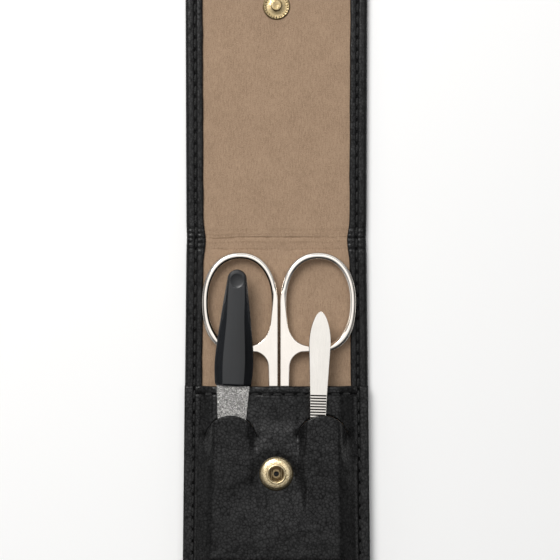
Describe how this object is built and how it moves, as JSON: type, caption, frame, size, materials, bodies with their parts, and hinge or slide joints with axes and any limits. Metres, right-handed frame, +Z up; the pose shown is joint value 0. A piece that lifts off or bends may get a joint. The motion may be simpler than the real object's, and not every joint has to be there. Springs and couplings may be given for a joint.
{
  "type": "manicure set case",
  "caption": "Leather manicure case that folds shut over a slotted pocket with nail scissors, a nail file and tweezers, held by a press stud.",
  "frame": {"origin": "middle of the open case's footprint, on the surface it lies on", "axes": "+X across the case, +Y from the pocket towards the flap's end, +Z up out of the open case"},
  "size_m": [0.0566, 0.1921, 0.01],
  "materials": {
    "leather": "black pebble-grained leather, semi-matt",
    "board": "grey-brown pressed fibre board",
    "suede": "tan suede-like lining with a short nap",
    "pocket_cloth": "thin black lining cloth",
    "brass": "pale brass-plated pressed sheet, slightly aged",
    "spring_steel": "drawn spring wire",
    "nickel_steel": "nickel-plated steel, mirror polished",
    "black_plastic": "black moulded plastic, satin",
    "coated_steel": "steel with a sparkling grit coating",
    "bright_steel": "bright nickel-plated steel"
  },
  "bodies": {
    "case": {"back_shell": "leather", "back_board": "board", "back_lining": "suede", "pocket_front": "leather", "pocket_lining": "pocket_cloth", "snap_socket": "brass", "socket_spring": "spring_steel", "socket_rivet": "brass"},
    "spine": {"spine_shell": "leather", "spine_board": "board", "spine_lining": "suede"},
    "flap": {"flap_shell": "leather", "flap_board": "board", "flap_lining": "suede", "snap_stud": "brass", "stud_rivet": "brass"},
    "scissor_pivot": {"scissor_screw": "nickel_steel"},
    "scissor_left": {"scissor_blade_left": "nickel_steel"},
    "scissor_right": {"scissor_blade_right": "nickel_steel"},
    "nail_file": {"file_handle": "black_plastic", "file_blade": "coated_steel"},
    "tweezers": {"tweezer_upper_leg": "bright_steel"},
    "tweezer_leg": {"tweezer_lower_leg": "bright_steel"}
  },
  "joints": [
    {"name": "spine_fold", "type": "hinge", "parent": "case", "child": "spine", "pos_m": [0, 0.00815, 0.0026], "axis": [1, 0, 0], "range_deg": [0, 90]},
    {"name": "flap_fold", "type": "hinge", "parent": "spine", "child": "flap", "pos_m": [0, 0.01555, 0.0026], "axis": [1, 0, 0], "range_deg": [0, 90]},
    {"name": "scissors_slide", "type": "slide", "parent": "case", "child": "scissor_pivot", "axis": [0, -1, 0], "range_m": [-0.052, 0]},
    {"name": "scissor_left_swing", "type": "hinge", "parent": "scissor_pivot", "child": "scissor_left", "pos_m": [0.0008, -0.0502, 0.0041], "axis": [0, 0, 1], "range_deg": [0, 15]},
    {"name": "scissor_right_swing", "type": "hinge", "parent": "scissor_pivot", "child": "scissor_right", "pos_m": [0.0008, -0.0502, 0.0041], "axis": [0, 0, 1], "range_deg": [-15, 0]},
    {"name": "file_slide", "type": "slide", "parent": "case", "child": "nail_file", "axis": [-0.0384, -0.9987, -0.0349], "range_m": [-0.05, 0]},
    {"name": "tweezers_slide", "type": "slide", "parent": "case", "child": "tweezers", "axis": [-0.0262, -0.999, -0.0349], "range_m": [-0.051, 0]},
    {"name": "tweezer_squeeze", "type": "hinge", "parent": "tweezers", "child": "tweezer_leg", "pos_m": [0.01298, -0.01884, 0.00867], "axis": [-0.9997, 0.0262, 0], "range_deg": [0, 0.9], "stiffness_Nm_per_rad": 0.4}
  ],
  "couplings": [
    {"joint": "flap_fold", "follows": "spine_fold", "ratio": 1},
    {"joint": "scissor_right_swing", "follows": "scissor_left_swing", "ratio": -1}
  ]
}
